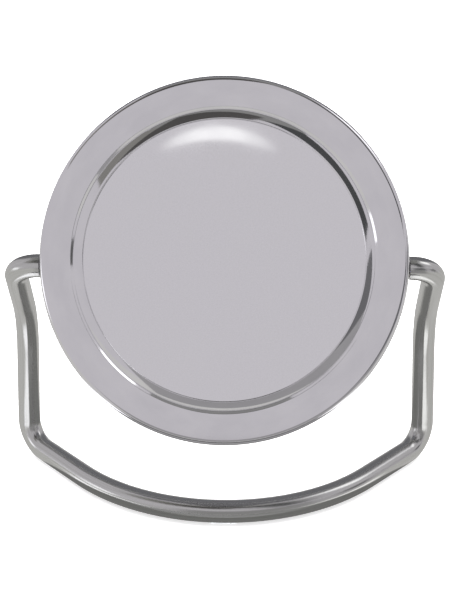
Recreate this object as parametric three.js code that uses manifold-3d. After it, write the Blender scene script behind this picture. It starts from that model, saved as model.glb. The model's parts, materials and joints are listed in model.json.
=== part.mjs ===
// Shaving mirror for a table: a round, two-sided mirror head that turns in a stand bent from one steel tube.
// Millimetres, +Z up. The user sits at -Y and looks along +Y; +X is to the user's right.
// The origin lies on the table, under the middle of the object's box.
import * as THREE from "three";
import { mergeVertices } from "three/addons/utils/BufferGeometryUtils.js";
import Module from "manifold-3d";

const wasm = await Module();
wasm.setup();

// ---------- driving dimensions ----------
const fitGap = 0.3; // room between two pieces that touch

// Stand: one bent tube, its ends held by the pivots
const tubeRadius = 5.5;
const tubeWall = 1.1;
const tubeClearance = 0.6; // the foot pads lift the tube off the table by this
const tubeAxisLow = tubeClearance + tubeRadius; // height of the tube's axis along the base
const pivotHeight = 121;
const elbowHalfSpan = 97.5; // the tube turns down here, beside the head
const cornerHalfSpan = 100; // the legs splay a little towards the table
const kneeSetback = 35; // the knees and the rear of the base lie behind the pivot line
const kneeHeight = 76;
const bowTipSetback = -76; // where the two straights of the base would meet, in front
const elbowBend = 11; // radii of the tube's bends, at its axis
const kneeBend = 50;
const cornerBend = 13;
const bowBend = 94;

// Foot pads: clear strips under the base
const padLength = 12;
const padHalfWidth = 1.5;
const padGap = 0.25;
const rearPadDistance = 22; // from the corner, along the base

// Mirror head, a stack about its own axis; heights are from the head's middle plane
const headRadius = 85;
const headHalfDepth = 8;
const headTilt = THREE.MathUtils.degToRad(28); // leans back from upright
const pivotDrop = 3; // the pivot line passes this far below the head's middle
const sheet = 1.2; // metal of the band and the bezels
const edgeRound = 2.5; // rounding of the bezel's outer edge
const skirtFoot = 5.3; // the bezel's skirt ends here, and the band starts just below it
const glassRadius = 67.5;
const glassThickness = 2.2;
const glassEdgeHeight = 5.75; // outer face of a glass where the bezel's lip covers it
const lipRadius = 64.7; // the bezel's inner edge
const lipCrest = 8.3; // height of the bezel where its lip turns down to the glass
const crease = 0.5; // radius of the small bends in the bezel's profile
const beadCurve = 14; // radius of the broad bead that falls from the lip to a groove
const beadTop = 80; // the way the bead faces at the lip and at the groove, in degrees from the radial
const beadFoot = 64;
const stepSlope = 128; // the way the step between the groove and the flat face looks
const magnifierCurve = 900; // radius of the magnifying face
const webHalf = 0.8; // half thickness of the core's web

// Pivot, measured along the pivot line from the head's middle
const screwRadius = 2;
const screwHeadRadius = 3.8;
const screwHeadStart = 71.7;
const screwHeadEnd = 74;
const screwTip = 88.9;
const blockInner = 75;
const blockOuter = 82.1;
const blockHalfWidth = 7;
const blockHalfDepth = 4.6;
const blockBore = 3.5;
const bushRadius = 3.2;
const bushBore = 2.3;
const bushFlangeRadius = 4.6;
const bushFlangeStart = 82.4; // the flange sits between the block and the rim
const bushFlangeEnd = 83;
const bushEnd = 85.05; // the bush's nose passes through the rim and bears on the tube's plug
const tubeEnd = 85.35;
const plugLength = 3;
const plugRadius = 3.6;

// ---------- finishes ----------
const metal = (color, roughness) => new THREE.MeshStandardMaterial({ color, roughness, metalness: 1 });
const plain = (color, roughness) => new THREE.MeshStandardMaterial({ color, roughness, metalness: 0 });
const finishes = {
  brushedTube: () => metal(0xb9b8b6, 0.28),
  polishedSteel: () => metal(0xc6c4ca, 0.1),
  mirror: () => metal(0xc2c0c6, 0.04),
  zincSteel: () => metal(0x9fa2a6, 0.4),
  springSteel: () => metal(0x777a80, 0.35),
  nylon: () => plain(0xe9e7e0, 0.5),
  core: () => plain(0x2b2c2e, 0.6),
  foam: () => plain(0x3a3b3d, 0.95),
  clearPad: () => plain(0xdfe4e6, 0.3),
};

// ---------- helpers ----------
function solid(geometry) {
  const bare = geometry.index ? geometry.toNonIndexed() : geometry.clone();
  bare.deleteAttribute("normal");
  bare.deleteAttribute("uv");
  const merged = mergeVertices(bare, 1e-4);
  const vertProperties = new Float32Array(merged.attributes.position.array);
  const triVerts = new Uint32Array(merged.index.array);
  return new wasm.Manifold(new wasm.Mesh({ numProp: 3, vertProperties, triVerts }));
}

function subtract(geometry, tools) {
  let rest = solid(geometry);
  for (const tool of tools) {
    rest = rest.subtract(solid(tool));
  }
  const mesh = rest.getMesh();
  const result = new THREE.BufferGeometry();
  result.setAttribute("position", new THREE.BufferAttribute(new Float32Array(mesh.vertProperties), 3));
  result.setIndex(new THREE.BufferAttribute(new Uint32Array(mesh.triVerts), 1));
  result.computeVertexNormals();
  return result;
}

// Points of an arc in a plane, angles in degrees
function arc(centreX, centreY, radius, from, to, steps) {
  const points = [];
  for (let i = 0; i <= steps; i++) {
    const angle = THREE.MathUtils.degToRad(from + ((to - from) * i) / steps);
    points.push(new THREE.Vector2(centreX + radius * Math.cos(angle), centreY + radius * Math.sin(angle)));
  }
  return points;
}

// A round piece about the Z axis. The outline is [radius, height] pairs, up the outside and down the inside.
function turned(outline, segments, closed) {
  const points = outline.map((p) => (p.isVector2 ? p : new THREE.Vector2(p[0], p[1])));
  if (closed) {
    points.push(points[0].clone());
  }
  return new THREE.LatheGeometry(points, segments).rotateX(Math.PI / 2);
}

// A plain ring about Z
function ring(inner, outer, low, high, segments) {
  return turned([[outer, low], [outer, high], [inner, high], [inner, low]], segments, true);
}

// Lays a piece made about Z along X
const alongX = (geometry) => geometry.rotateY(Math.PI / 2);

function circle(radius, sides) {
  return arc(0, 0, radius, 0, 360 - 360 / sides, sides - 1);
}

function add(parent, name, geometry, finish) {
  const mesh = new THREE.Mesh(geometry, finish());
  mesh.name = name;
  parent.add(mesh);
  return mesh;
}

// ---------- stand ----------
// The axis of a bent tube: straights between corners, each corner rounded to its own radius
class BentTubeAxis extends THREE.Curve {
  constructor(corners, bends) {
    super();
    this.stations = [corners[0]];
    corners.slice(1, -1).forEach((corner, i) => {
      this.addBend(corners[i], corner, corners[i + 2], bends[i]);
    });
    this.stations.push(corners[corners.length - 1]);
  }

  addBend(before, corner, after, { radius, steps }) {
    const back = before.clone().sub(corner).normalize();
    const onward = after.clone().sub(corner).normalize();
    const half = back.angleTo(onward) / 2;
    const middle = back.clone().add(onward).normalize();
    const centre = corner.clone().addScaledVector(middle, radius / Math.sin(half));
    const first = corner.clone().addScaledVector(back, radius / Math.tan(half)).sub(centre);
    const turnAxis = back.clone().negate().cross(onward).normalize();
    const turn = Math.PI - 2 * half;
    for (let i = 0; i <= steps; i++) {
      this.stations.push(first.clone().applyAxisAngle(turnAxis, (turn * i) / steps).add(centre));
    }
  }

  getPoint(t, target = new THREE.Vector3()) {
    const place = THREE.MathUtils.clamp(t, 0, 1) * (this.stations.length - 1);
    const i = Math.min(Math.floor(place), this.stations.length - 2);
    return target.copy(this.stations[i]).lerp(this.stations[i + 1], place - i);
  }

  // The sections stand at the stations, close together in the bends and far apart on the straights
  getUtoTmapping(u) {
    return u;
  }
}

const rightCorner = new THREE.Vector3(cornerHalfSpan, kneeSetback, tubeAxisLow);
const bowTip = new THREE.Vector3(0, bowTipSetback, tubeAxisLow);

function standAxis() {
  const rightSide = [
    new THREE.Vector3(tubeEnd, 0, pivotHeight),
    new THREE.Vector3(elbowHalfSpan, 0, pivotHeight),
    new THREE.Vector3(elbowHalfSpan, kneeSetback, kneeHeight),
    rightCorner,
  ];
  const leftSide = rightSide.map((p) => new THREE.Vector3(-p.x, p.y, p.z)).reverse();
  const sideBends = [
    { radius: elbowBend, steps: 6 },
    { radius: kneeBend, steps: 6 },
    { radius: cornerBend, steps: 6 },
  ];
  const bends = [...sideBends, { radius: bowBend, steps: 16 }, ...sideBends.slice().reverse()];
  return new BentTubeAxis([...rightSide, bowTip, ...leftSide], bends);
}

function standTube() {
  const axis = standAxis();
  const section = new THREE.Shape(circle(tubeRadius, 16));
  section.holes.push(new THREE.Path(circle(tubeRadius - tubeWall, 12)));
  return new THREE.ExtrudeGeometry(section, {
    steps: axis.stations.length - 1,
    extrudePath: axis,
    bevelEnabled: false,
  });
}

// A strip with a flat underside whose top follows the tube
function footPad() {
  const seat = tubeRadius + padGap;
  const reach = THREE.MathUtils.radToDeg(Math.asin(padHalfWidth / seat));
  const top = arc(0, tubeAxisLow, seat, -90 + reach, -90 - reach, 6);
  const outline = [new THREE.Vector2(-padHalfWidth, 0), new THREE.Vector2(padHalfWidth, 0), ...top];
  return new THREE.ExtrudeGeometry(new THREE.Shape(outline), { depth: padLength, bevelEnabled: false })
    .translate(0, 0, -padLength / 2)
    .rotateX(Math.PI / 2);
}

function tubePlug() {
  return alongX(ring(screwRadius + fitGap, plugRadius, tubeEnd, tubeEnd + plugLength, 20));
}

function pivotScrew() {
  const crown = screwHeadStart + 0.9; // the head's edge starts below its crown
  const outline = [
    [0, screwTip],
    [0.9 * screwRadius, screwTip],
    [screwRadius, screwTip - 0.5],
    [screwRadius, screwHeadEnd],
    [screwHeadRadius, screwHeadEnd],
    [screwHeadRadius, crown],
    [0.7 * screwHeadRadius, screwHeadStart],
    [0, screwHeadStart],
  ];
  const body = turned(outline.reverse(), 20, false);
  const socketDepth = 1.4;
  const socket = new THREE.CylinderGeometry(1.45, 1.45, 2 * socketDepth, 6).rotateX(Math.PI / 2);
  return alongX(subtract(body, [socket.translate(0, 0, screwHeadStart)]));
}

function buildStand(parent) {
  add(parent, "stand_tube", standTube(), finishes.brushedTube);

  const bowFront = bowTip.y + bowBend * (rightCorner.distanceTo(bowTip) / cornerHalfSpan - 1);
  add(parent, "front_foot_pad", footPad(), finishes.clearPad);
  parent.getObjectByName("front_foot_pad").rotation.z = Math.PI / 2;
  parent.getObjectByName("front_foot_pad").position.y = bowFront;

  const alongBase = bowTip.clone().sub(rightCorner).normalize();
  const padPlace = rightCorner.clone().addScaledVector(alongBase, rearPadDistance);
  for (const [side, sign] of [["right", 1], ["left", -1]]) {
    const pad = add(parent, `${side}_foot_pad`, footPad(), finishes.clearPad);
    pad.position.set(sign * padPlace.x, padPlace.y, 0);
    pad.rotation.z = sign * Math.atan2(alongBase.x, -alongBase.y);

    const pivotSide = new THREE.Group();
    pivotSide.position.z = pivotHeight;
    pivotSide.rotation.z = sign > 0 ? 0 : Math.PI;
    add(pivotSide, `${side}_tube_plug`, tubePlug(), finishes.zincSteel);
    add(pivotSide, `${side}_pivot_screw`, pivotScrew(), finishes.zincSteel);
    parent.add(pivotSide);
  }
}

// ---------- mirror head ----------
// Centres of the arcs in a bezel's profile, from the lip outwards, so that each arc meets the next smoothly
function bezelCentres() {
  const facing = (degrees) => arc(0, 0, 1, degrees, degrees, 1)[0];
  const lip = new THREE.Vector2(lipRadius + crease, lipCrest - crease);
  const bead = lip.clone().addScaledVector(facing(beadTop), crease - beadCurve);
  const groove = bead.clone().addScaledVector(facing(beadFoot), beadCurve + crease);
  const step = facing(stepSlope);
  const shoulderHeight = headHalfDepth - crease;
  const shoulderRadius = (step.dot(groove) - 2 * crease - shoulderHeight * step.y) / step.x;
  return { lip, bead, groove, shoulder: new THREE.Vector2(shoulderRadius, shoulderHeight) };
}

// Pressed ring: rounded outer edge, flat face, a step down to a narrow groove, and a broad bead up to the lip
function bezel() {
  const { lip, bead, groove, shoulder } = bezelCentres();
  const roundCentre = [headRadius - edgeRound, headHalfDepth - edgeRound];
  const underFace = headHalfDepth - sheet;
  const outline = [
    [headRadius, skirtFoot],
    ...arc(...roundCentre, edgeRound, 0, 90, 3),
    ...arc(shoulder.x, shoulder.y, crease, 90, stepSlope, 1),
    ...arc(groove.x, groove.y, crease, stepSlope - 180, beadFoot - 180, 2),
    ...arc(bead.x, bead.y, beadCurve, beadFoot, beadTop, 3).slice(1),
    ...arc(lip.x, lip.y, crease, beadTop, 180, 2).slice(1),
    [lipRadius, 6.3],
    [67.9, 6.3],
    [68.2, 5.75],
    [69.3, 5.75],
    [70.6, underFace],
    ...arc(...roundCentre, edgeRound - sheet, 90, 0, 2),
    [headRadius - sheet, skirtFoot],
  ];
  return turned(outline, 60, true);
}

function rimBand() {
  const half = skirtFoot - fitGap;
  const hoop = ring(headRadius - sheet, headRadius, -half, half, 60);
  const bore = new THREE.CylinderGeometry(blockBore, blockBore, 3 * headRadius, 20).rotateZ(Math.PI / 2);
  return subtract(hoop, [bore.translate(0, -pivotDrop, 0)]);
}

// Moulded core: a thin web, a rebate on each side for a glass, and pockets for the pivot blocks
function core() {
  const outer = headRadius - sheet - 0.4;
  const upper = [
    [outer, 5.4],
    [outer - 0.8, 6.4],
    [71.2, 6.4],
    [71.2, 5.3],
    [glassRadius + 0.5, 5.3],
    [glassRadius + 0.5, 1.8],
    [60, 1.8],
    [60, webHalf],
    [0, webHalf],
  ];
  const lower = upper.map(([radius, height]) => [radius, -height]).reverse();
  const body = turned([...lower, ...upper], 48, false);
  const room = 0.4; // room round a pivot block
  const pocketStart = screwHeadStart - 1.2;
  const pocketDepth = headRadius - pocketStart;
  const pockets = [1, -1].map((sign) =>
    new THREE.BoxGeometry(pocketDepth, 2 * (blockHalfWidth + room), 2 * (blockHalfDepth + room)).translate(
      sign * (pocketStart + pocketDepth / 2),
      -pivotDrop,
      0,
    ),
  );
  return subtract(body, pockets);
}

// Slumped glass: both faces dish inwards by the same curve
function magnifyingGlass() {
  const dish = (radius) => (radius * radius - lipRadius * lipRadius) / (2 * magnifierCurve);
  const radii = [0, 17, 34, 51, glassRadius];
  const face = radii.map((radius) => [radius, glassEdgeHeight + dish(radius)]).reverse();
  const back = radii.map((radius) => [radius, glassEdgeHeight - glassThickness + dish(radius)]);
  return turned([...back, ...face], 60, false);
}

function plainGlass() {
  const outer = -glassEdgeHeight;
  const inner = outer + glassThickness;
  return turned([[0, outer], [glassRadius, outer], [glassRadius, inner], [0, inner]], 60, false);
}

function pivotBlock() {
  const corner = 1.2;
  const y = blockHalfWidth;
  const z = blockHalfDepth;
  const outline = [
    ...arc(z - corner, y - corner, corner, 0, 90, 2),
    ...arc(corner - z, y - corner, corner, 90, 180, 2),
    ...arc(corner - z, corner - y, corner, 180, 270, 2),
    ...arc(z - corner, corner - y, corner, 270, 360, 2),
  ];
  const shape = new THREE.Shape(outline);
  shape.holes.push(new THREE.Path(circle(blockBore, 20)));
  const block = new THREE.ExtrudeGeometry(shape, { depth: blockOuter - blockInner, bevelEnabled: false });
  return alongX(block.translate(0, 0, blockInner));
}

function flangedBush() {
  const bushStart = blockInner + 0.4;
  const outline = [
    [bushRadius, bushStart],
    [bushRadius, bushFlangeStart],
    [bushFlangeRadius, bushFlangeStart],
    [bushFlangeRadius, bushFlangeEnd],
    [bushRadius, bushFlangeEnd],
    [bushRadius, bushEnd],
    [bushBore, bushEnd],
    [bushBore, bushStart],
  ];
  return alongX(turned(outline, 20, true));
}

// A thin ring with three waves, pressed between the screw's head and the block
function waveWasher() {
  const thickness = 0.3;
  const middle = (screwHeadEnd + blockInner) / 2;
  const washer = ring(bushBore, 4.3, middle - thickness / 2, middle + thickness / 2, 36);
  const position = washer.attributes.position;
  const waveHeight = 0.15;
  for (let i = 0; i < position.count; i++) {
    const angle = Math.atan2(position.getY(i), position.getX(i));
    position.setZ(i, position.getZ(i) + waveHeight * Math.cos(3 * angle));
  }
  return alongX(washer);
}

function buildHead(parent) {
  const disc = new THREE.Group(); // about the head's own middle
  disc.position.y = pivotDrop;
  parent.add(disc);

  add(disc, "rim_band", rimBand(), finishes.polishedSteel);
  add(disc, "core", core(), finishes.core);
  add(disc, "front_bezel", bezel(), finishes.polishedSteel);
  add(disc, "rear_bezel", bezel(), finishes.polishedSteel).rotation.x = Math.PI;
  add(disc, "magnifying_glass", magnifyingGlass(), finishes.mirror);
  add(disc, "plain_glass", plainGlass(), finishes.mirror);
  add(disc, "front_gasket", ring(61, 67.3, 2.1, 2.9, 48), finishes.foam);
  add(disc, "rear_gasket", ring(61, 67.3, -3.25, -2.1, 48), finishes.foam);

  for (const [side, sign] of [["right", 1], ["left", -1]]) {
    const pivotSide = new THREE.Group();
    pivotSide.rotation.z = sign > 0 ? 0 : Math.PI;
    add(pivotSide, `${side}_pivot_block`, pivotBlock(), finishes.zincSteel);
    add(pivotSide, `${side}_pivot_bush`, flangedBush(), finishes.nylon);
    add(pivotSide, `${side}_wave_washer`, waveWasher(), finishes.springSteel);
    parent.add(pivotSide);
  }
}

// ---------- the whole mirror ----------
const group = new THREE.Group();

const stand = new THREE.Group();
buildStand(stand);
group.add(stand);

const head = new THREE.Group(); // about the pivot line; its own Z axis is the magnifying face's normal
head.position.z = pivotHeight;
head.rotation.x = Math.PI / 2 - headTilt;
buildHead(head);
group.add(head);

const box = new THREE.Box3().setFromObject(group);
group.position.y = -(box.min.y + box.max.y) / 2;

export default group;
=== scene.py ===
"""Looks of a table shaving mirror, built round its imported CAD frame.

Fine meshes take the place of the tube, pads, rings, band, glasses and bushes. Every other CAD node stays and
gets its finish. Shapes are in millimetres until mesh_piece() scales them, and are placed from the pivot line
that the frame gives. The studio and the camera are in metres.
"""

import json
import math

import bmesh
import bpy
import numpy as np
from mathutils import Matrix, Vector


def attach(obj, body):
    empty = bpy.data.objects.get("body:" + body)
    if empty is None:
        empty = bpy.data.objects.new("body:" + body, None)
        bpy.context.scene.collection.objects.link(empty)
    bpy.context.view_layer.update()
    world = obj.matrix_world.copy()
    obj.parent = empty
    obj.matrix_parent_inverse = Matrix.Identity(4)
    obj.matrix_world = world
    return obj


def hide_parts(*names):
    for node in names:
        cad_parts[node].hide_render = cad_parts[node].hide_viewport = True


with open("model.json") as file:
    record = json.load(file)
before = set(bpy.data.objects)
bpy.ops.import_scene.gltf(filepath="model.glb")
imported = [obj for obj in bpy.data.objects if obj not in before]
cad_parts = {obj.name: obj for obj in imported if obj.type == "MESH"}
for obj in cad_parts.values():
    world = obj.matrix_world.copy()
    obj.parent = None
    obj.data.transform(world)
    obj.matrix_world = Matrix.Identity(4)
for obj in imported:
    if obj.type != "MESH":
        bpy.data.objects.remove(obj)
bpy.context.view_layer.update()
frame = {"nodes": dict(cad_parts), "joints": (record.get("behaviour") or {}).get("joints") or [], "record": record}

MM = 0.001
PIVOT = Vector(frame["joints"][0]["pos_m"])
X_AXIS = Vector((1, 0, 0))
UPWARDS = Vector((0, 0, 1))
SAME_PLACE = 1e-6  # two places nearer than this are one

# ---------- driving dimensions, mm ----------
# Stand, measured from the middle of the pivot line
TUBE_RADIUS = 5.5
TUBE_WALL = 1.1
TUBE_LIP = 0.2  # rounding of the tube's cut ends
TUBE_CLEARANCE = 0.6  # the foot pads lift the tube off the table by this
TUBE_END = 85.35
ELBOW_SPAN = 97.5  # the tube turns down here, beside the head
CORNER_SPAN = 100  # the legs splay a little towards the table
KNEE_SETBACK = 35  # the knees and the rear of the base lie behind the pivot line
KNEE_DROP = -45  # the knees lie below the pivot line
BOW_TIP_SETBACK = -76  # where the two straights of the base would meet, in front
ELBOW_BEND, KNEE_BEND, CORNER_BEND, BOW_BEND = 11, 50, 13, 94  # radii at the tube's axis
BEND_STEP = 2.5  # degrees turned between two sections of the tube
TUBE_SIDES = 64
BORE_STRIDE = 3  # the hidden bore has a section for every third one outside
LIP_STATIONS = 4  # sections round each rounded edge of a cut end

# Foot pads
PAD_LENGTH = 12
PAD_HALF_WIDTH = 1.5
PAD_GAP = 0.25
PAD_EDGE = 0.125  # rounding of its edges
PAD_SEAT_POINTS = 7  # across the hollow that the tube sits in
PAD_SHARP = math.radians(40)  # edges that turn more than this are rounded
PAD_CREASE = math.radians(30)  # and once rounded, edges that turn more than this are shaded as creases
REAR_PAD_DISTANCE = 22  # from the corner, along the base

# Head, about its own axis; heights are from its middle plane
HEAD_RADIUS = 85
HEAD_HALF_DEPTH = 8
HEAD_TILT = math.radians(28)  # leans back from upright
PIVOT_DROP = 3  # the pivot line passes this far below the head's middle
SHEET = 1.2  # metal of the band and the rings
EDGE_ROUND = 2.5  # rounding of the ring's outer edge
SKIRT_FOOT = 5.3  # the ring's skirt ends here, just above the band
BAND_HALF = 5.0
BAND_ROUND = 0.25
ALONG_RADIUS = 0.999  # cosine from which a face of the band counts as part of its round walls
LIP_RADIUS = 64.7  # the ring's inner edge
LIP_CREST = 8.3  # height of the ring where its lip turns down to the glass
LIP_UNDERSIDE = 6.3
CREASE = 0.5  # radius of the small bends in the ring's profile
BEAD_CURVE = 14  # radius of the broad bead that falls from the lip to a groove
BEAD_TOP, BEAD_FOOT, STEP_SLOPE = 80, 64, 128  # the way the bead and the step face, degrees from the radial
GROOVE_UNDERSIDE = 5.75
GROOVE_WALL, GROOVE_INNER, GROOVE_OUTER, GROOVE_END = 67.9, 68.2, 69.3, 70.6  # radii under the groove
GLASS_RADIUS = 67.5
GLASS_THICKNESS = 2.2
GLASS_EDGE_HEIGHT = 5.75  # outer face of a glass under the ring's lip
GLASS_ARRIS = 0.3  # ground edge of a glass
MAGNIFIER_CURVE = 900  # radius of the magnifying face
MAGNIFIER_RINGS = 24
HEAD_STEPS = 240  # sections round the head

# Pivot bush; distances along the pivot line are from the head's middle
BUSH_INNER = 75.4
BUSH_RADIUS = 3.2
BUSH_BORE = 2.3
BUSH_ROUND = 0.2
BUSH_STEPS = 64
BAND_BORE = 3.5  # hole in the band that the bush's nose passes through
FLANGE_RADIUS = 4.6
FLANGE_START = 82.4
FLANGE_END = 83
BUSH_END = 85.05


# ---------- outlines and turned meshes ----------
def arc(centre, radius, start, end, step=7.5):
    """Rows of place and outward normal along an arc, in degrees. Turning backwards makes a hollow."""
    turns = max(2, math.ceil(abs(end - start) / step))
    angles = np.radians(np.linspace(start, end, turns + 1))
    round_way = np.column_stack([np.cos(angles), np.sin(angles)])
    outward = round_way if end > start else -round_way
    return np.hstack([np.array(centre) + radius * round_way, outward])


def line(start, end):
    """Rows of place and outward normal along a straight stretch."""
    along = np.subtract(end, start)
    outward = np.array([along[1], -along[0]]) / np.hypot(*along)
    return np.array([[*start, *outward], [*end, *outward]])


def outline(*items, closed=True):
    """Joins points and arcs, given up the outside and down the inside, into stretches of rows."""
    stretches = []
    place = items[0] if len(items[0]) == 2 else items[0][-1][:2]
    if len(items[0]) != 2:
        stretches.append(items[0])
    for item in items[1:]:
        first = item if len(item) == 2 else item[0][:2]
        if np.hypot(*np.subtract(first, place)) > SAME_PLACE:
            stretches.append(line(place, first))
        if len(item) != 2:
            stretches.append(item)
        place = item if len(item) == 2 else item[-1][:2]
    start = items[0] if len(items[0]) == 2 else items[0][0][:2]
    if closed:
        stretches.append(line(place, start))
    return stretches


def walls(stretches):
    """The rings of an outline, and for each wall between two rings the normals at its two ends."""
    rings, ends = [], []
    for rows in stretches:
        for here, there in zip(rows[:-1], rows[1:]):
            rings.append(here[:2])
            ends.append((here[2:], there[2:]))
    return rings, ends


def turned(stretches, steps=HEAD_STEPS):
    """Turns an outline about Z: points, faces, corner normals, unrolled places, and no flat map.

    A ring on the axis is a single point, and an outline that starts and ends on the axis isn't closed.
    """
    open_ended = np.hypot(*(stretches[-1][-1][:2] - stretches[0][0][:2])) > SAME_PLACE
    rings, ends = walls(stretches)
    if open_ended:
        rings.append(stretches[-1][-1][:2])
    angles = np.linspace(0, 2 * math.pi, steps, endpoint=False)
    points, unrolled, first = [], [], []
    travelled = 0
    for i, (radius, height) in enumerate(rings):
        travelled += np.hypot(*np.subtract(rings[i], rings[i - 1])) if i else 0
        first.append(len(points))
        for angle in angles if radius > SAME_PLACE else angles[:1]:
            across, aside = math.cos(angle), math.sin(angle)
            points.append((radius * across, radius * aside, height))
            unrolled.append((HEAD_RADIUS * across, HEAD_RADIUS * aside, travelled))
    faces, normals = [], []
    for i, (start_normal, end_normal) in enumerate(ends):
        k = (i + 1) % len(rings)
        start_pole, end_pole = rings[i][0] < SAME_PLACE, rings[k][0] < SAME_PLACE
        for j in range(steps):
            beside = (j + 1) % steps
            corners = [
                (first[i] + (0 if start_pole else j), start_normal, j),
                (first[i] + (0 if start_pole else beside), start_normal, beside),
                (first[k] + (0 if end_pole else beside), end_normal, beside),
                (first[k] + (0 if end_pole else j), end_normal, j),
            ]
            if start_pole:
                corners.pop(1)
            if end_pole:
                corners.pop(2)
            faces.append([vertex for vertex, _, _ in corners])
            for _, (out, up), turn in corners:
                normals.append((out * math.cos(angles[turn]), out * math.sin(angles[turn]), up))
    return points, faces, normals, unrolled, None


def mesh_piece(name, made, matrix, body, material, stands_for):
    """Makes a piece from points in mm, moved into place, ties it to its body, gives it its finish, and hides the
    CAD node that it stands in for.
    """
    points, faces, normals, unrolled, along = made
    turn = matrix.to_3x3()
    mesh = bpy.data.meshes.new(name)
    mesh.from_pydata([matrix @ (Vector(p) * MM) for p in points], [], faces)
    mesh.polygons.foreach_set("use_smooth", [True] * len(faces))
    if unrolled:
        attribute = mesh.attributes.new("unrolled", "FLOAT_VECTOR", "POINT")
        attribute.data.foreach_set("vector", (np.array(unrolled) * MM).ravel())
    if along:
        flat_map = mesh.uv_layers.new(name="along")
        flat_map.data.foreach_set("uv", np.array(along).ravel())
    if normals:
        mesh.normals_split_custom_set([(turn @ Vector(n)).normalized() for n in normals])
    mesh.materials.append(material)
    piece = bpy.data.objects.new(name, mesh)
    bpy.context.scene.collection.objects.link(piece)
    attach(piece, body)
    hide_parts(stands_for)
    return piece


# ---------- finishes ----------
NOISE_LOW, NOISE_HIGH = 0.3, 0.7  # nearly all of a noise lies between these


def finish(name, colour, **sockets):
    """A Principled material whose even values sit on the shader's own sockets."""
    material = bpy.data.materials.new(name)
    material.use_nodes = True
    shader = material.node_tree.nodes["Principled BSDF"]
    shader.inputs["Base Color"].default_value = (*colour, 1)
    for socket, value in sockets.items():
        shader.inputs[socket.replace("_", " ")].default_value = value
    return material


def put(material, kind, inputs, **settings):
    """Adds a node; an input is a value or another node's output."""
    made = material.node_tree.nodes.new("ShaderNode" + kind)
    for key, value in settings.items():
        setattr(made, key, value)
    for key, value in inputs.items():
        if isinstance(value, bpy.types.NodeSocket):
            material.node_tree.links.new(value, made.inputs[key])
        else:
            made.inputs[key].default_value = value
    return made


def feed(material, socket, output):
    """Links a node's output to a socket of the shader."""
    shader = material.node_tree.nodes["Principled BSDF"]
    material.node_tree.links.new(output, shader.inputs[socket])


def place_on(material, unrolled):
    """Where a point is: unrolled along the tube or round the ring, or in the piece's own space."""
    if unrolled:
        return put(material, "Attribute", {}, attribute_name="unrolled").outputs["Vector"]
    return put(material, "TexCoord", {}).outputs["Object"]


def grain(material, place, per_mm, detail=2, roughness=0.5):
    """Noise with this many grains per mm along each axis, from 0 to 1."""
    scale = [number / MM for number in per_mm]
    stretched = put(material, "Mapping", {"Vector": place, "Scale": scale}, vector_type="POINT")
    made = put(
        material,
        "TexNoise",
        {"Vector": stretched.outputs[0], "Scale": 1.0, "Detail": detail, "Roughness": roughness},
    )
    return made.outputs[0]


def span(material, noise, low, high):
    """Maps the middle of a noise to a range."""
    made = put(
        material,
        "MapRange",
        {"Value": noise, "From Min": NOISE_LOW, "From Max": NOISE_HIGH, "To Min": low, "To Max": high},
    )
    return made.outputs[0]


def add_up(material, first, second):
    """The sum of two outputs."""
    return put(material, "Math", {0: first, 1: second}, operation="ADD").outputs[0]


def vary_colour(material, noise, dark, light):
    """Varies the base colour between two near ones by a noise."""
    mixed = put(material, "Mix", {"Factor": span(material, noise, 0, 1)}, data_type="RGBA")
    mixed.inputs["A"].default_value = (*dark, 1)
    mixed.inputs["B"].default_value = (*light, 1)
    feed(material, "Base Color", mixed.outputs["Result"])


def add_bump(material, layers):
    """Stacks bumps: each layer is a height from 0 to 1 and its depth in mm."""
    normal = None
    for height, depth in layers:
        inputs = {"Height": height, "Distance": depth * MM, "Strength": 1.0}
        if normal:
            inputs["Normal"] = normal
        normal = put(material, "Bump", inputs).outputs[0]
    feed(material, "Normal", normal)


def satin_tube():
    """Stainless tube polished round and round on a belt, so that lights draw out along its length."""
    made = finish("satin_tube", (0.62, 0.62, 0.61), Metallic=1.0, Roughness=0.2, Anisotropic=0.75)
    along = put(made, "Tangent", {}, direction_type="UV_MAP", uv_map="along")
    feed(made, "Tangent", along.outputs[0])
    place = place_on(made, unrolled=True)
    belt = grain(made, place, (0.25, 0.25, 9), detail=3, roughness=0.6)
    streaks = grain(made, place, (1.2, 1.2, 0.01), detail=3)
    patches = grain(made, place, (0.08, 0.08, 0.04), detail=3)
    vary_colour(made, streaks, (0.585, 0.585, 0.57), (0.66, 0.66, 0.655))
    feed(made, "Roughness", add_up(made, span(made, belt, 0.15, 0.22), span(made, patches, -0.02, 0.05)))
    waves = grain(made, place, (0.12, 0.12, 0.03), detail=1)
    add_bump(made, [(belt, 0.0008), (streaks, 0.004), (waves, 0.04)])
    return made


def polished_ring():
    """Pressed steel buffed to a mirror, with faint round polishing marks and a slight orange peel."""
    made = finish("polished_ring", (0.8, 0.79, 0.81), Metallic=1.0, Roughness=0.06)
    place = place_on(made, unrolled=True)
    marks = grain(made, place, (0.06, 0.06, 14), detail=3, roughness=0.6)
    smudges = grain(made, place, (0.05, 0.05, 0.12), detail=3)
    vary_colour(made, smudges, (0.77, 0.76, 0.785), (0.83, 0.82, 0.84))
    feed(made, "Roughness", add_up(made, span(made, marks, 0.035, 0.08), span(made, smudges, 0, 0.025)))
    peel = grain(made, place, (0.14, 0.14, 0.2), detail=1)
    add_bump(made, [(marks, 0.0003), (peel, 0.004)])
    return made


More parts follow.
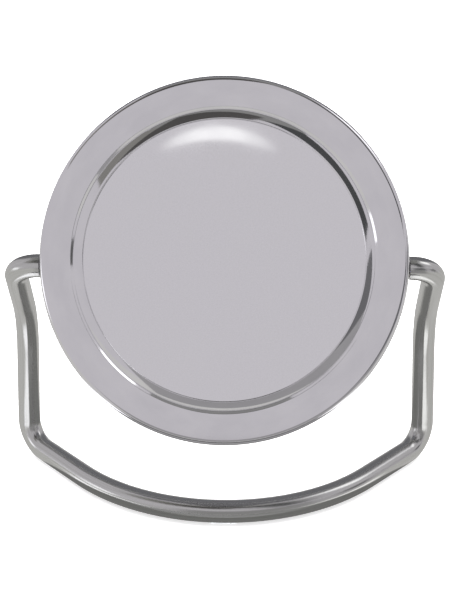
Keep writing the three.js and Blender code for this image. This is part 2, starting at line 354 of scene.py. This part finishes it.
def silvered_glass():
    """Mirror glass: clean, with a faint film of dust and water marks."""
    made = finish(
        "silvered_glass",
        (0.86, 0.85, 0.875),
        Metallic=1.0,
        Roughness=0.02,
        Coat_Weight=1.0,
        Coat_Roughness=0.01,
    )
    place = place_on(made, unrolled=False)
    film = grain(made, place, (0.05, 0.05, 0.05), detail=4)
    dust = grain(made, place, (2.2, 2.2, 2.2), detail=2)
    vary_colour(made, dust, (0.835, 0.825, 0.85), (0.88, 0.87, 0.895))
    feed(made, "Roughness", add_up(made, span(made, film, 0.012, 0.035), span(made, dust, 0, 0.02)))
    ripple = grain(made, place, (0.02, 0.02, 0.02), detail=1)
    add_bump(made, [(ripple, 0.002)])
    return made


def zinc_plate():
    """Turned steel with a dull plating, on the pivots' hidden parts."""
    made = finish("zinc_plate", (0.6, 0.61, 0.63), Metallic=1.0, Roughness=0.35)
    place = place_on(made, unrolled=False)
    spangle = grain(made, place, (0.9, 0.9, 0.9), detail=3)
    turning = grain(made, place, (6, 0.4, 0.4), detail=2)
    vary_colour(made, spangle, (0.5, 0.51, 0.52), (0.68, 0.69, 0.7))
    feed(made, "Roughness", span(made, spangle, 0.26, 0.46))
    add_bump(made, [(turning, 0.01), (spangle, 0.01)])
    return made


def spring_steel():
    """Dark oiled spring strip."""
    made = finish("spring_steel", (0.35, 0.36, 0.38), Metallic=1.0, Roughness=0.4)
    place = place_on(made, unrolled=False)
    oil = grain(made, place, (0.5, 0.5, 0.5), detail=3)
    rolled = grain(made, place, (2, 8, 0.6), detail=2)
    vary_colour(made, oil, (0.26, 0.27, 0.3), (0.42, 0.42, 0.43))
    feed(made, "Roughness", span(made, oil, 0.28, 0.5))
    add_bump(made, [(rolled, 0.006)])
    return made


def natural_nylon():
    """Uncoloured nylon that lets a little light in."""
    made = finish(
        "natural_nylon",
        (0.82, 0.81, 0.76),
        Roughness=0.45,
        Subsurface_Weight=0.15,
        Subsurface_Scale=0.001,
    )
    place = place_on(made, unrolled=False)
    cloud = grain(made, place, (0.5, 0.5, 0.5), detail=2)
    skin = grain(made, place, (6, 6, 6), detail=2)
    vary_colour(made, cloud, (0.78, 0.77, 0.71), (0.86, 0.85, 0.81))
    feed(made, "Roughness", span(made, skin, 0.38, 0.55))
    add_bump(made, [(skin, 0.01)])
    return made


def moulded_core():
    """Black moulded plastic with a fine spark texture."""
    made = finish("moulded_core", (0.07, 0.07, 0.075), Roughness=0.6)
    place = place_on(made, unrolled=False)
    flow = grain(made, place, (0.04, 0.04, 0.2), detail=2)
    spark = grain(made, place, (3, 3, 3), detail=3)
    vary_colour(made, flow, (0.055, 0.055, 0.06), (0.085, 0.085, 0.09))
    feed(made, "Roughness", span(made, spark, 0.5, 0.7))
    add_bump(made, [(spark, 0.03)])
    return made


def closed_cell_foam():
    """Dark foam with its cells showing."""
    made = finish("closed_cell_foam", (0.08, 0.08, 0.082), Roughness=0.95)
    place = place_on(made, unrolled=False)
    cells = put(made, "TexVoronoi", {"Vector": place, "Scale": 2200.0}).outputs["Distance"]
    blotch = grain(made, place, (0.2, 0.2, 0.2), detail=2)
    vary_colour(made, blotch, (0.06, 0.06, 0.062), (0.1, 0.1, 0.103))
    feed(made, "Roughness", span(made, blotch, 0.88, 0.98))
    add_bump(made, [(cells, 0.15)])
    return made


def clear_silicone():
    """Soft clear rubber, a little hazy."""
    made = finish("clear_silicone", (0.86, 0.88, 0.89), Roughness=0.3, IOR=1.42, Transmission_Weight=0.7)
    place = place_on(made, unrolled=False)
    haze = grain(made, place, (0.4, 0.4, 0.4), detail=3)
    vary_colour(made, haze, (0.8, 0.82, 0.83), (0.9, 0.92, 0.93))
    feed(made, "Roughness", span(made, haze, 0.22, 0.42))
    add_bump(made, [(grain(made, place, (2.5, 2.5, 2.5), detail=2), 0.02)])
    return made


FINISHES = {
    "tube_steel": satin_tube(),
    "polished_steel": polished_ring(),
    "mirror_glass": silvered_glass(),
    "zinc_steel": zinc_plate(),
    "spring_steel": spring_steel(),
    "nylon": natural_nylon(),
    "core_plastic": moulded_core(),
    "foam": closed_cell_foam(),
    "clear_pad": clear_silicone(),
}


def finish_cad_nodes():
    """Gives each CAD node that stays the finish of its slot in the record."""
    for row in frame["record"]["subparts"]:
        mesh = frame["nodes"][row["node"]].data
        mesh.materials.clear()
        mesh.materials.append(FINISHES[row["material_slot"]])


# ---------- stand ----------
TABLE_DROP = -PIVOT.z / MM  # the table's height below the pivot line
TUBE_AXIS_LOW = TABLE_DROP + TUBE_CLEARANCE + TUBE_RADIUS


def stand_corners():
    """The corners of the tube's axis from its right end round to its left, with the bend at each."""
    right = [
        (Vector((TUBE_END, 0, 0)), None),
        (Vector((ELBOW_SPAN, 0, 0)), ELBOW_BEND),
        (Vector((ELBOW_SPAN, KNEE_SETBACK, KNEE_DROP)), KNEE_BEND),
        (Vector((CORNER_SPAN, KNEE_SETBACK, TUBE_AXIS_LOW)), CORNER_BEND),
    ]
    left = [(Vector((-p.x, p.y, p.z)), bend) for p, bend in reversed(right)]
    return [*right, (Vector((0, BOW_TIP_SETBACK, TUBE_AXIS_LOW)), BOW_BEND), *left]


def bend_stations(before, corner, after, radius):
    """Places and directions round one bend."""
    back = (before - corner).normalized()
    onward = (after - corner).normalized()
    half = back.angle(onward) / 2
    centre = corner + (back + onward).normalized() * radius / math.sin(half)
    first = corner + back * radius / math.tan(half) - centre
    axis = (-back).cross(onward).normalized()
    turn = math.pi - 2 * half
    steps = math.ceil(math.degrees(turn) / BEND_STEP)
    for i in range(steps + 1):
        rotation = Matrix.Rotation(turn * i / steps, 3, axis)
        yield centre + rotation @ first, rotation @ -back


def tube_stations(end_inset):
    """Places, directions and cross axes along the whole tube, its two ends held back by end_inset."""
    corners = stand_corners()
    stations = [(corners[0][0] + X_AXIS * end_inset, X_AXIS.copy())]
    for (before, _), (corner, bend), (after, _) in zip(corners, corners[1:], corners[2:]):
        stations += bend_stations(before, corner, after, bend)
    stations.append((corners[-1][0] - X_AXIS * end_inset, X_AXIS.copy()))
    across = UPWARDS.copy()
    placed = []
    for place, direction in stations:
        if placed:
            across = placed[-1][1].rotation_difference(direction) @ across
        placed.append((place, direction, across.copy()))
    return placed


def tube_mesh():
    """A hollow tube with rounded lips: out along its outer wall, over the lip, and back along its bore."""
    stations = tube_stations(TUBE_LIP)
    last = len(stations) - 1
    lip = []  # distance past the last station, radius, and the normal's outward and forward parts
    for middle, start in ((TUBE_RADIUS - TUBE_LIP, 0), (TUBE_RADIUS - TUBE_WALL + TUBE_LIP, math.pi / 2)):
        for turn in np.linspace(start, start + math.pi / 2, LIP_STATIONS):
            out, forward = math.cos(turn), math.sin(turn)
            lip.append((TUBE_LIP * forward, middle + TUBE_LIP * out, out, forward))
    rows = [(k, 0, TUBE_RADIUS, 1, 0) for k in range(1, last)]
    rows += [(last, *step) for step in lip]
    rows += [(k, 0, TUBE_RADIUS - TUBE_WALL, -1, 0) for k in range(last - 1, 0, -BORE_STRIDE)]
    rows += [(0, -ahead, radius, out, -forward) for ahead, radius, out, forward in reversed(lip)]
    lengths = np.cumsum([0] + [(b[0] - a[0]).length for a, b in zip(stations, stations[1:])])
    angles = np.linspace(0, 2 * math.pi, TUBE_SIDES, endpoint=False)
    points, unrolled, radials = [], [], []
    for k, ahead, radius, out, forward in rows:
        place, direction, across = stations[k]
        side = direction.cross(across)
        for angle in angles:
            radial = across * math.cos(angle) + side * math.sin(angle)
            points.append(place + direction * ahead + radial * radius)
            unrolled.append((radius * math.cos(angle), radius * math.sin(angle), lengths[k] + ahead))
            radials.append(radial * out + direction * forward)
    faces, normals, along = [], [], []
    for i in range(len(rows)):
        this_ring, next_ring = i * TUBE_SIDES, (i + 1) % len(rows) * TUBE_SIDES
        for j in range(TUBE_SIDES):
            beside = (j + 1) % TUBE_SIDES
            corners = [this_ring + j, this_ring + beside, next_ring + beside, next_ring + j]
            faces.append(corners)
            normals += [radials[c] for c in corners]
            here, there = unrolled[corners[0]][2], unrolled[corners[2]][2]
            along += [(here, j), (here, j + 1), (there, j + 1), (there, j)]
    return points, faces, normals, unrolled, along


def pad_mesh():
    """A soft strip along Y: flat below, hollow above where the tube sits, every edge rounded."""
    seat = TUBE_RADIUS + PAD_GAP
    axis_height = TUBE_CLEARANCE + TUBE_RADIUS
    section = [(-PAD_HALF_WIDTH, 0), (PAD_HALF_WIDTH, 0)]
    for x in np.linspace(PAD_HALF_WIDTH, -PAD_HALF_WIDTH, PAD_SEAT_POINTS):
        section.append((x, axis_height - math.sqrt(seat * seat - x * x)))
    made = bmesh.new()
    end_face = made.faces.new([made.verts.new((x, -PAD_LENGTH / 2, z)) for x, z in section])
    grown = bmesh.ops.extrude_face_region(made, geom=[end_face])
    for vertex in grown["geom"]:
        if isinstance(vertex, bmesh.types.BMVert):
            vertex.co.y += PAD_LENGTH
    bmesh.ops.recalc_face_normals(made, faces=made.faces)
    sharp = [edge for edge in made.edges if edge.calc_face_angle(0) > PAD_SHARP]
    bmesh.ops.bevel(made, geom=sharp, offset=PAD_EDGE, segments=3, profile=0.5, affect="EDGES")
    points = [vertex.co.copy() for vertex in made.verts]
    faces = [[vertex.index for vertex in face.verts] for face in made.faces]
    made.free()
    return points, faces, None, None, None


def pad_places():
    """Where each pad lies under the base, and how far it is turned to lie along the tube."""
    corner, tip = Vector((CORNER_SPAN, KNEE_SETBACK, 0)), Vector((0, BOW_TIP_SETBACK, 0))
    along = (tip - corner).normalized()
    rear = corner + along * REAR_PAD_DISTANCE
    bow_front = BOW_TIP_SETBACK + BOW_BEND * ((corner - tip).length / CORNER_SPAN - 1)
    swing = math.atan2(along.x, -along.y)
    return {
        "front": (Vector((0, bow_front, 0)), math.pi / 2),
        "right": (rear, swing),
        "left": (Vector((-rear.x, rear.y, 0)), -swing),
    }


def build_stand():
    at_pivot = Matrix.Translation(PIVOT)
    steel, rubber = FINISHES["tube_steel"], FINISHES["clear_pad"]
    mesh_piece("bent_tube", tube_mesh(), at_pivot, "stand", steel, "stand_tube")
    for side, (place, turn) in pad_places().items():
        on_table = Vector((0, PIVOT.y, 0)) + place * MM
        matrix = Matrix.Translation(on_table) @ Matrix.Rotation(turn, 4, "Z")
        name = f"{side}_foot_pad"
        pad = mesh_piece(f"{side}_pad", pad_mesh(), matrix, "stand", rubber, name)
        pad.data.set_sharp_from_angle(angle=PAD_CREASE)


# ---------- head ----------
def facing(degrees):
    """The unit vector, in an outline's plane, this far from the radial."""
    return np.array([math.cos(math.radians(degrees)), math.sin(math.radians(degrees))])


def ring_outline():
    """Pressed ring: rounded edge, flat face, a step down to a groove, and a broad bead up to the lip."""
    edge = (HEAD_RADIUS - EDGE_ROUND, HEAD_HALF_DEPTH - EDGE_ROUND)
    lip = np.array([LIP_RADIUS + CREASE, LIP_CREST - CREASE])
    bead = lip - facing(BEAD_TOP) * (BEAD_CURVE - CREASE)
    groove = bead + facing(BEAD_FOOT) * (BEAD_CURVE + CREASE)
    step = facing(STEP_SLOPE)
    shoulder_height = HEAD_HALF_DEPTH - CREASE
    shoulder = ((step @ groove - 2 * CREASE - shoulder_height * step[1]) / step[0], shoulder_height)
    return outline(
        (HEAD_RADIUS, SKIRT_FOOT),
        arc(edge, EDGE_ROUND, 0, 90),
        arc(shoulder, CREASE, 90, STEP_SLOPE),
        arc(groove, CREASE, STEP_SLOPE - 180, BEAD_FOOT - 180, step=11),
        arc(bead, BEAD_CURVE, BEAD_FOOT, BEAD_TOP, step=2),
        arc(lip, CREASE, BEAD_TOP, 180, step=11),
        (LIP_RADIUS, LIP_UNDERSIDE),
        (GROOVE_WALL, LIP_UNDERSIDE),
        (GROOVE_INNER, GROOVE_UNDERSIDE),
        (GROOVE_OUTER, GROOVE_UNDERSIDE),
        (GROOVE_END, HEAD_HALF_DEPTH - SHEET),
        arc(edge, EDGE_ROUND - SHEET, 90, 0),
        (HEAD_RADIUS - SHEET, SKIRT_FOOT),
    )


def hoop_outline():
    """The band between the two rings."""
    inner, outer = HEAD_RADIUS - SHEET, HEAD_RADIUS - BAND_ROUND
    return outline(
        arc((outer, BAND_ROUND - BAND_HALF), BAND_ROUND, -90, 0, step=15),
        arc((outer, BAND_HALF - BAND_ROUND), BAND_ROUND, 0, 90, step=15),
        (inner, BAND_HALF),
        (inner, -BAND_HALF),
    )


def magnifier_outline():
    """Slumped glass: both faces dish inwards by the same curve, and the edge is ground."""

    def face(height, inward):
        rows = []
        for radius in np.linspace(GLASS_RADIUS - GLASS_ARRIS, 0, MAGNIFIER_RINGS):
            slope = radius / MAGNIFIER_CURVE
            dish = (radius * radius - LIP_RADIUS * LIP_RADIUS) / (2 * MAGNIFIER_CURVE)
            length = math.hypot(1, slope)
            rows.append([radius, height + dish, -slope * inward / length, inward / length])
        return np.array(rows if inward > 0 else rows[::-1])

    outer = face(GLASS_EDGE_HEIGHT, 1)
    inner = face(GLASS_EDGE_HEIGHT - GLASS_THICKNESS, -1)
    return outline(
        inner,
        (GLASS_RADIUS, inner[-1][1] + GLASS_ARRIS),
        (GLASS_RADIUS, outer[0][1] - GLASS_ARRIS),
        outer,
        closed=False,
    )


def plain_outline():
    """Flat glass at the back, its edge ground."""
    low, high = -GLASS_EDGE_HEIGHT, GLASS_THICKNESS - GLASS_EDGE_HEIGHT
    return outline(
        (0, low),
        (GLASS_RADIUS - GLASS_ARRIS, low),
        (GLASS_RADIUS, low + GLASS_ARRIS),
        (GLASS_RADIUS, high - GLASS_ARRIS),
        (GLASS_RADIUS - GLASS_ARRIS, high),
        (0, high),
        closed=False,
    )


def bush_outline():
    """Flanged bush along its own axis, its outer edges rounded."""
    flange, nose = FLANGE_RADIUS - BUSH_ROUND, BUSH_RADIUS - BUSH_ROUND
    return outline(
        (BUSH_RADIUS, BUSH_INNER),
        (BUSH_RADIUS, FLANGE_START),
        arc((flange, FLANGE_START + BUSH_ROUND), BUSH_ROUND, -90, 0, step=18),
        arc((flange, FLANGE_END - BUSH_ROUND), BUSH_ROUND, 0, 90, step=18),
        (BUSH_RADIUS, FLANGE_END),
        arc((nose, BUSH_END - BUSH_ROUND), BUSH_ROUND, 0, 90, step=18),
        (BUSH_BORE, BUSH_END),
        (BUSH_BORE, BUSH_INNER),
    )


def bore_tool():
    """A rod along the pivot line, longer than the head is wide."""
    rod = bmesh.new()
    bmesh.ops.create_cone(
        rod,
        cap_ends=True,
        segments=BUSH_STEPS,
        radius1=BAND_BORE * MM,
        radius2=BAND_BORE * MM,
        depth=3 * HEAD_RADIUS * MM,
        matrix=Matrix.Translation(PIVOT) @ Matrix.Rotation(math.pi / 2, 4, "Y"),
    )
    mesh = bpy.data.meshes.new("bore")
    rod.to_mesh(mesh)
    rod.free()
    tool = bpy.data.objects.new("bore", mesh)
    bpy.context.scene.collection.objects.link(tool)
    return tool


def cut_pivot_bores(hoop, disc):
    """Drills the band for the two bushes, then gives its round walls true normals again."""
    tool = bore_tool()
    cut = hoop.modifiers.new("bores", "BOOLEAN")
    cut.operation, cut.object, cut.solver = "DIFFERENCE", tool, "EXACT"
    bpy.context.view_layer.update()
    drilled = bpy.data.meshes.new_from_object(hoop.evaluated_get(bpy.context.evaluated_depsgraph_get()))
    hoop.modifiers.clear()
    hoop.data = drilled
    bpy.data.objects.remove(tool)
    own_space, turn = disc.inverted(), disc.to_3x3()
    true_normals = []
    for face in drilled.polygons:
        for index in face.vertices:
            place = own_space @ drilled.vertices[index].co
            radial = (turn @ Vector((place.x, place.y, 0))).normalized()
            outward = face.normal.dot(radial)
            on_round_wall = abs(outward) > ALONG_RADIUS
            true_normals.append(radial * math.copysign(1, outward) if on_round_wall else face.normal.copy())
    drilled.normals_split_custom_set(true_normals)


def build_head():
    lean = Matrix.Translation(PIVOT) @ Matrix.Rotation(math.pi / 2 - HEAD_TILT, 4, "X")
    disc = lean @ Matrix.Translation((0, PIVOT_DROP * MM, 0))
    turn_over = disc @ Matrix.Rotation(math.pi, 4, "X")
    steel, glass = FINISHES["polished_steel"], FINISHES["mirror_glass"]
    ring = turned(ring_outline())
    mesh_piece("front_ring", ring, disc, "head", steel, "front_bezel")
    mesh_piece("rear_ring", ring, turn_over, "head", steel, "rear_bezel")
    hoop = mesh_piece("hoop", turned(hoop_outline()), disc, "head", steel, "rim_band")
    cut_pivot_bores(hoop, disc)
    front_glass = turned(magnifier_outline())
    mesh_piece("magnifier", front_glass, disc, "head", glass, "magnifying_glass")
    mesh_piece("plain_mirror", turned(plain_outline()), disc, "head", glass, "plain_glass")
    bush = turned(bush_outline(), steps=BUSH_STEPS)
    for side, quarter in (("right", math.pi / 2), ("left", -math.pi / 2)):
        matrix = lean @ Matrix.Rotation(quarter, 4, "Y")
        name = f"{side}_pivot_bush"
        mesh_piece(f"{side}_bush", bush, matrix, "head", FINISHES["nylon"], name)


# ---------- camera and studio: places and sizes in metres ----------
VIEW_ELEVATION = math.radians(26.6)
VIEW_AZIMUTH = math.radians(0.9)  # from the right
VIEW_DISTANCE = 0.8
AIM_BELOW_PIVOT = 0.01525  # across the view
AIM_RIGHT_OF_PIVOT = 0.0003
SENSOR = 36  # mm, on the long side of the image
LENS = 103.85  # mm

WORLD_TONE = (0.60, 0.585, 0.61)
FLOOR_SIDE = 8
FLOOR_GLOW = 0.6  # lifts the shadows on the table
OVERHEAD_PLACE = (0, 0.2, 1.6)
OVERHEAD_SIZE = 2.4
OVERHEAD_POWER = 60
TOWARDS_HEAD = Vector((0, 1, 0))  # the way an upright card in front looks

# Cards round the object: azimuth, elevation, distance, width and height, colour
CARDS = {
    "grey_zenith": (0, 88, 1.6, 1.5, 1.5, (0.26, 0.26, 0.255)),
    "grey_behind": (180, 33, 1.5, 2.6, 1.9, (0.20, 0.20, 0.215)),
    "dark_ceiling": (-19, 65, 1.2, 0.60, 0.68, (0.085, 0.082, 0.08)),
    "dark_upper_right": (43, 49, 1.2, 0.46, 0.76, (0.07, 0.072, 0.073)),
    "grey_upper_left": (-57, 54, 1.25, 0.55, 0.50, (0.24, 0.235, 0.22)),
    "grey_front_right": (31, 16, 1.25, 0.86, 0.46, (0.16, 0.16, 0.165)),
    "bright_window_right": (101, 47, 1.2, 0.36, 0.50, (1.6, 1.6, 1.62)),
    "dark_right": (78, 8, 1.1, 0.36, 0.26, (0.12, 0.12, 0.12)),
    "white_low_left": (-76, 0, 0.9, 0.36, 0.20, (1.5, 1.5, 1.55)),
}
# Upright cards in front of the base, below what the head shows: middle x, y and z, width and height, colour
LOW_CARDS = {
    "grey_low_front": (0.10, -0.25, 0.075, 0.44, 0.145, (0.34, 0.335, 0.34)),
}
# Patches on the table, seen only in reflections: middle x and y, width and depth, colour. The shaded patch under
# the head and the patch just in front of the bow are painted shade, and the two white patches beside the bow are
# painted light
TABLE_PATCHES = {
    "table_sheen": (0, 0, 7, 7, (0.62, 0.615, 0.60)),
    "shaded_table": (0.0, 0.01, 0.19, 0.12, (0.23, 0.23, 0.225)),
    # painted shade: the bow's own shade on the table just in front of it, seen in the bow's lower half
    "bow_shade_on_table": (0.0, -0.085, 0.20, 0.07, (0.36, 0.36, 0.36)),
    "dark_table_front": (0.0, -0.145, 0.26, 0.07, (0.10, 0.10, 0.105)),
    # painted light: two patches of the table glowing brighter than white, one on each side of the bow, seen in its
    # lower sides
    "painted_light_table_left": (-0.118, -0.055, 0.045, 0.11, (1.5, 1.5, 1.55)),
    "painted_light_table_right": (0.118, -0.055, 0.045, 0.11, (1.4, 1.4, 1.4)),
}
PATCH_LIFT = 0.0005  # each patch lies this far above the one before it
PATCH_BASE = 0.004  # depth below the table top from which the lifts are counted

# Crescent of lamplight in the top of the magnifier, shown by a card of its own in front of the head
CRESCENT_PLACE = Vector((-0.0085, -0.39, 0.3899))  # the middle of its lower edge
CRESCENT_HALF_WIDTH = 0.0154
CRESCENT_RISE = 0.005  # its height in the middle
CRESCENT_TAPER = 0.6  # share of that height lost at its ends
CRESCENT_SAG = 0.0036  # how far its ends hang below its middle
CRESCENT_GLOW = 1.12
CRESCENT_FILL = 2.6  # over 1, so that the bright part is broad
CRESCENT_EDGE_FADE = 1.5  # the higher, the softer its long edges
CRESCENT_END_FADE = 3  # the higher, the nearer its ends the glow reaches
CRESCENT_ROWS = 12
CRESCENT_COLUMNS = 32


def add_camera():
    camera = bpy.data.objects.new("camera", bpy.data.cameras.new("camera"))
    camera.data.lens = LENS
    camera.data.sensor_width = SENSOR
    camera.rotation_euler = (math.pi / 2 - VIEW_ELEVATION, 0, VIEW_AZIMUTH)
    aim = Vector((AIM_RIGHT_OF_PIVOT, -AIM_BELOW_PIVOT, VIEW_DISTANCE))
    camera.location = PIVOT + camera.rotation_euler.to_matrix() @ aim
    bpy.context.scene.collection.objects.link(camera)
    bpy.context.scene.camera = camera


def glow(name, colour):
    """An even light-giving surface for the stage's cards."""
    material = bpy.data.materials.new(name)
    material.use_nodes = True
    tree = material.node_tree
    tree.nodes.clear()
    emission = tree.nodes.new("ShaderNodeEmission")
    emission.inputs["Color"].default_value = (*colour, 1)
    output = tree.nodes.new("ShaderNodeOutputMaterial")
    tree.links.new(emission.outputs[0], output.inputs["Surface"])
    return material


def sheet_mesh(name, width, depth):
    """A flat rectangle round its own middle."""
    mesh = bpy.data.meshes.new(name)
    right, back = width / 2, depth / 2
    corners = [(-right, -back, 0), (right, -back, 0), (right, back, 0), (-right, back, 0)]
    mesh.from_pydata(corners, [], [(0, 1, 2, 3)])
    return mesh


def only_in_reflections(mesh, material, place, normal):
    """A stage card: it shows in polished surfaces, and neither lights nor shades anything else."""
    mesh.materials.append(material)
    made = bpy.data.objects.new(mesh.name, mesh)
    made.location = place
    made.rotation_euler = normal.to_track_quat("Z", "Y").to_euler()
    made.visible_camera = False
    made.visible_diffuse = False
    made.visible_shadow = False
    bpy.context.scene.collection.objects.link(made)


def way_to(azimuth, elevation):
    """The way from the mirror, in degrees. Azimuth 0 is straight in front, and positive towards the right."""
    round_way, up_way = math.radians(azimuth), math.radians(elevation)
    level = math.cos(up_way)
    return Vector((math.sin(round_way) * level, -math.cos(round_way) * level, math.sin(up_way)))


def add_cards():
    """The room that the polished metal shows: cards round the object, upright in front and on the table, where
    some patches are painted shade and painted light.
    """
    for name, (azimuth, elevation, distance, width, height, colour) in CARDS.items():
        way = way_to(azimuth, elevation)
        card = sheet_mesh(name, width, height)
        only_in_reflections(card, glow(name, colour), PIVOT + way * distance, -way)
    for name, (x, y, z, width, height, colour) in LOW_CARDS.items():
        card = sheet_mesh(name, width, height)
        only_in_reflections(card, glow(name, colour), Vector((x, y, z)), TOWARDS_HEAD)
    for i, (name, (x, y, width, depth, colour)) in enumerate(TABLE_PATCHES.items()):
        card = sheet_mesh(name, width, depth)
        place = Vector((x, y, (i + 1) * PATCH_LIFT - PATCH_BASE))
        only_in_reflections(card, glow(name, colour), place, UPWARDS)


def crescent_mesh():
    """A band arched upwards, brightest in its middle and falling to the studio's own tone at its edges."""
    mesh = bpy.data.meshes.new("crescent")
    points, tones, faces = [], [], []
    for i in range(CRESCENT_ROWS + 1):
        for j in range(CRESCENT_COLUMNS + 1):
            sideways, upwards = 2 * j / CRESCENT_COLUMNS - 1, i / CRESCENT_ROWS
            height = CRESCENT_RISE * (1 - CRESCENT_TAPER * sideways * sideways)
            sag = CRESCENT_SAG * sideways * sideways
            points.append((sideways * CRESCENT_HALF_WIDTH, upwards * height - sag, 0))
            share = min(1, CRESCENT_FILL * math.sin(math.pi * upwards) ** CRESCENT_EDGE_FADE)
            share *= 1 - abs(sideways) ** CRESCENT_END_FADE
            tones.append([tone + (CRESCENT_GLOW - tone) * share for tone in WORLD_TONE] + [1])
    for i in range(CRESCENT_ROWS):
        for j in range(CRESCENT_COLUMNS):
            corner = i * (CRESCENT_COLUMNS + 1) + j
            above = corner + CRESCENT_COLUMNS + 1
            faces.append((corner, corner + 1, above + 1, above))
    mesh.from_pydata(points, [], faces)
    tone = mesh.attributes.new("tone", "FLOAT_COLOR", "POINT")
    tone.data.foreach_set("color", np.array(tones).ravel())
    return mesh


def add_crescent():
    """The crescent's card, its glow taken from the tone on its mesh."""
    material = glow("crescent", WORLD_TONE)
    tree = material.node_tree
    tone = tree.nodes.new("ShaderNodeAttribute")
    tone.attribute_name = "tone"
    tree.links.new(tone.outputs["Color"], tree.nodes["Emission"].inputs["Color"])
    only_in_reflections(crescent_mesh(), material, CRESCENT_PLACE, TOWARDS_HEAD)


def add_floor():
    """A plain pale table top. Reflections pass through it and show the table's patches, with their painted shade
    and painted light, just below it.
    """
    mesh = sheet_mesh("floor", FLOOR_SIDE, FLOOR_SIDE)
    material = finish("floor_paint", (0.92, 0.92, 0.92), Roughness=0.8, Emission_Strength=FLOOR_GLOW)
    shader = material.node_tree.nodes["Principled BSDF"]
    shader.inputs["Emission Color"].default_value = (1, 1, 1, 1)
    mottle = grain(material, place_on(material, unrolled=False), (0.002, 0.002, 0.002))
    vary_colour(material, mottle, (0.91, 0.91, 0.91), (0.93, 0.93, 0.93))
    mesh.materials.append(material)
    floor = bpy.data.objects.new("floor", mesh)
    floor.visible_glossy = False
    bpy.context.scene.collection.objects.link(floor)


def add_world():
    world = bpy.data.worlds.new("studio")
    world.use_nodes = True
    background = world.node_tree.nodes["Background"]
    background.inputs["Color"].default_value = (*WORLD_TONE, 1)
    bpy.context.scene.world = world


def add_overhead_light():
    """A broad soft lamp, left out of reflections."""
    light = bpy.data.lights.new("overhead", "AREA")
    light.shape = "DISK"
    light.size = OVERHEAD_SIZE
    light.energy = OVERHEAD_POWER
    made = bpy.data.objects.new("overhead", light)
    made.location = OVERHEAD_PLACE
    made.rotation_euler = (-Vector(OVERHEAD_PLACE)).to_track_quat("-Z", "Y").to_euler()
    made.visible_glossy = False
    bpy.context.scene.collection.objects.link(made)


def build_studio():
    add_floor()
    add_world()
    add_overhead_light()
    add_cards()
    add_crescent()


add_camera()
build_studio()
finish_cad_nodes()
build_stand()
build_head()
bpy.context.scene.view_settings.view_transform = "Standard"
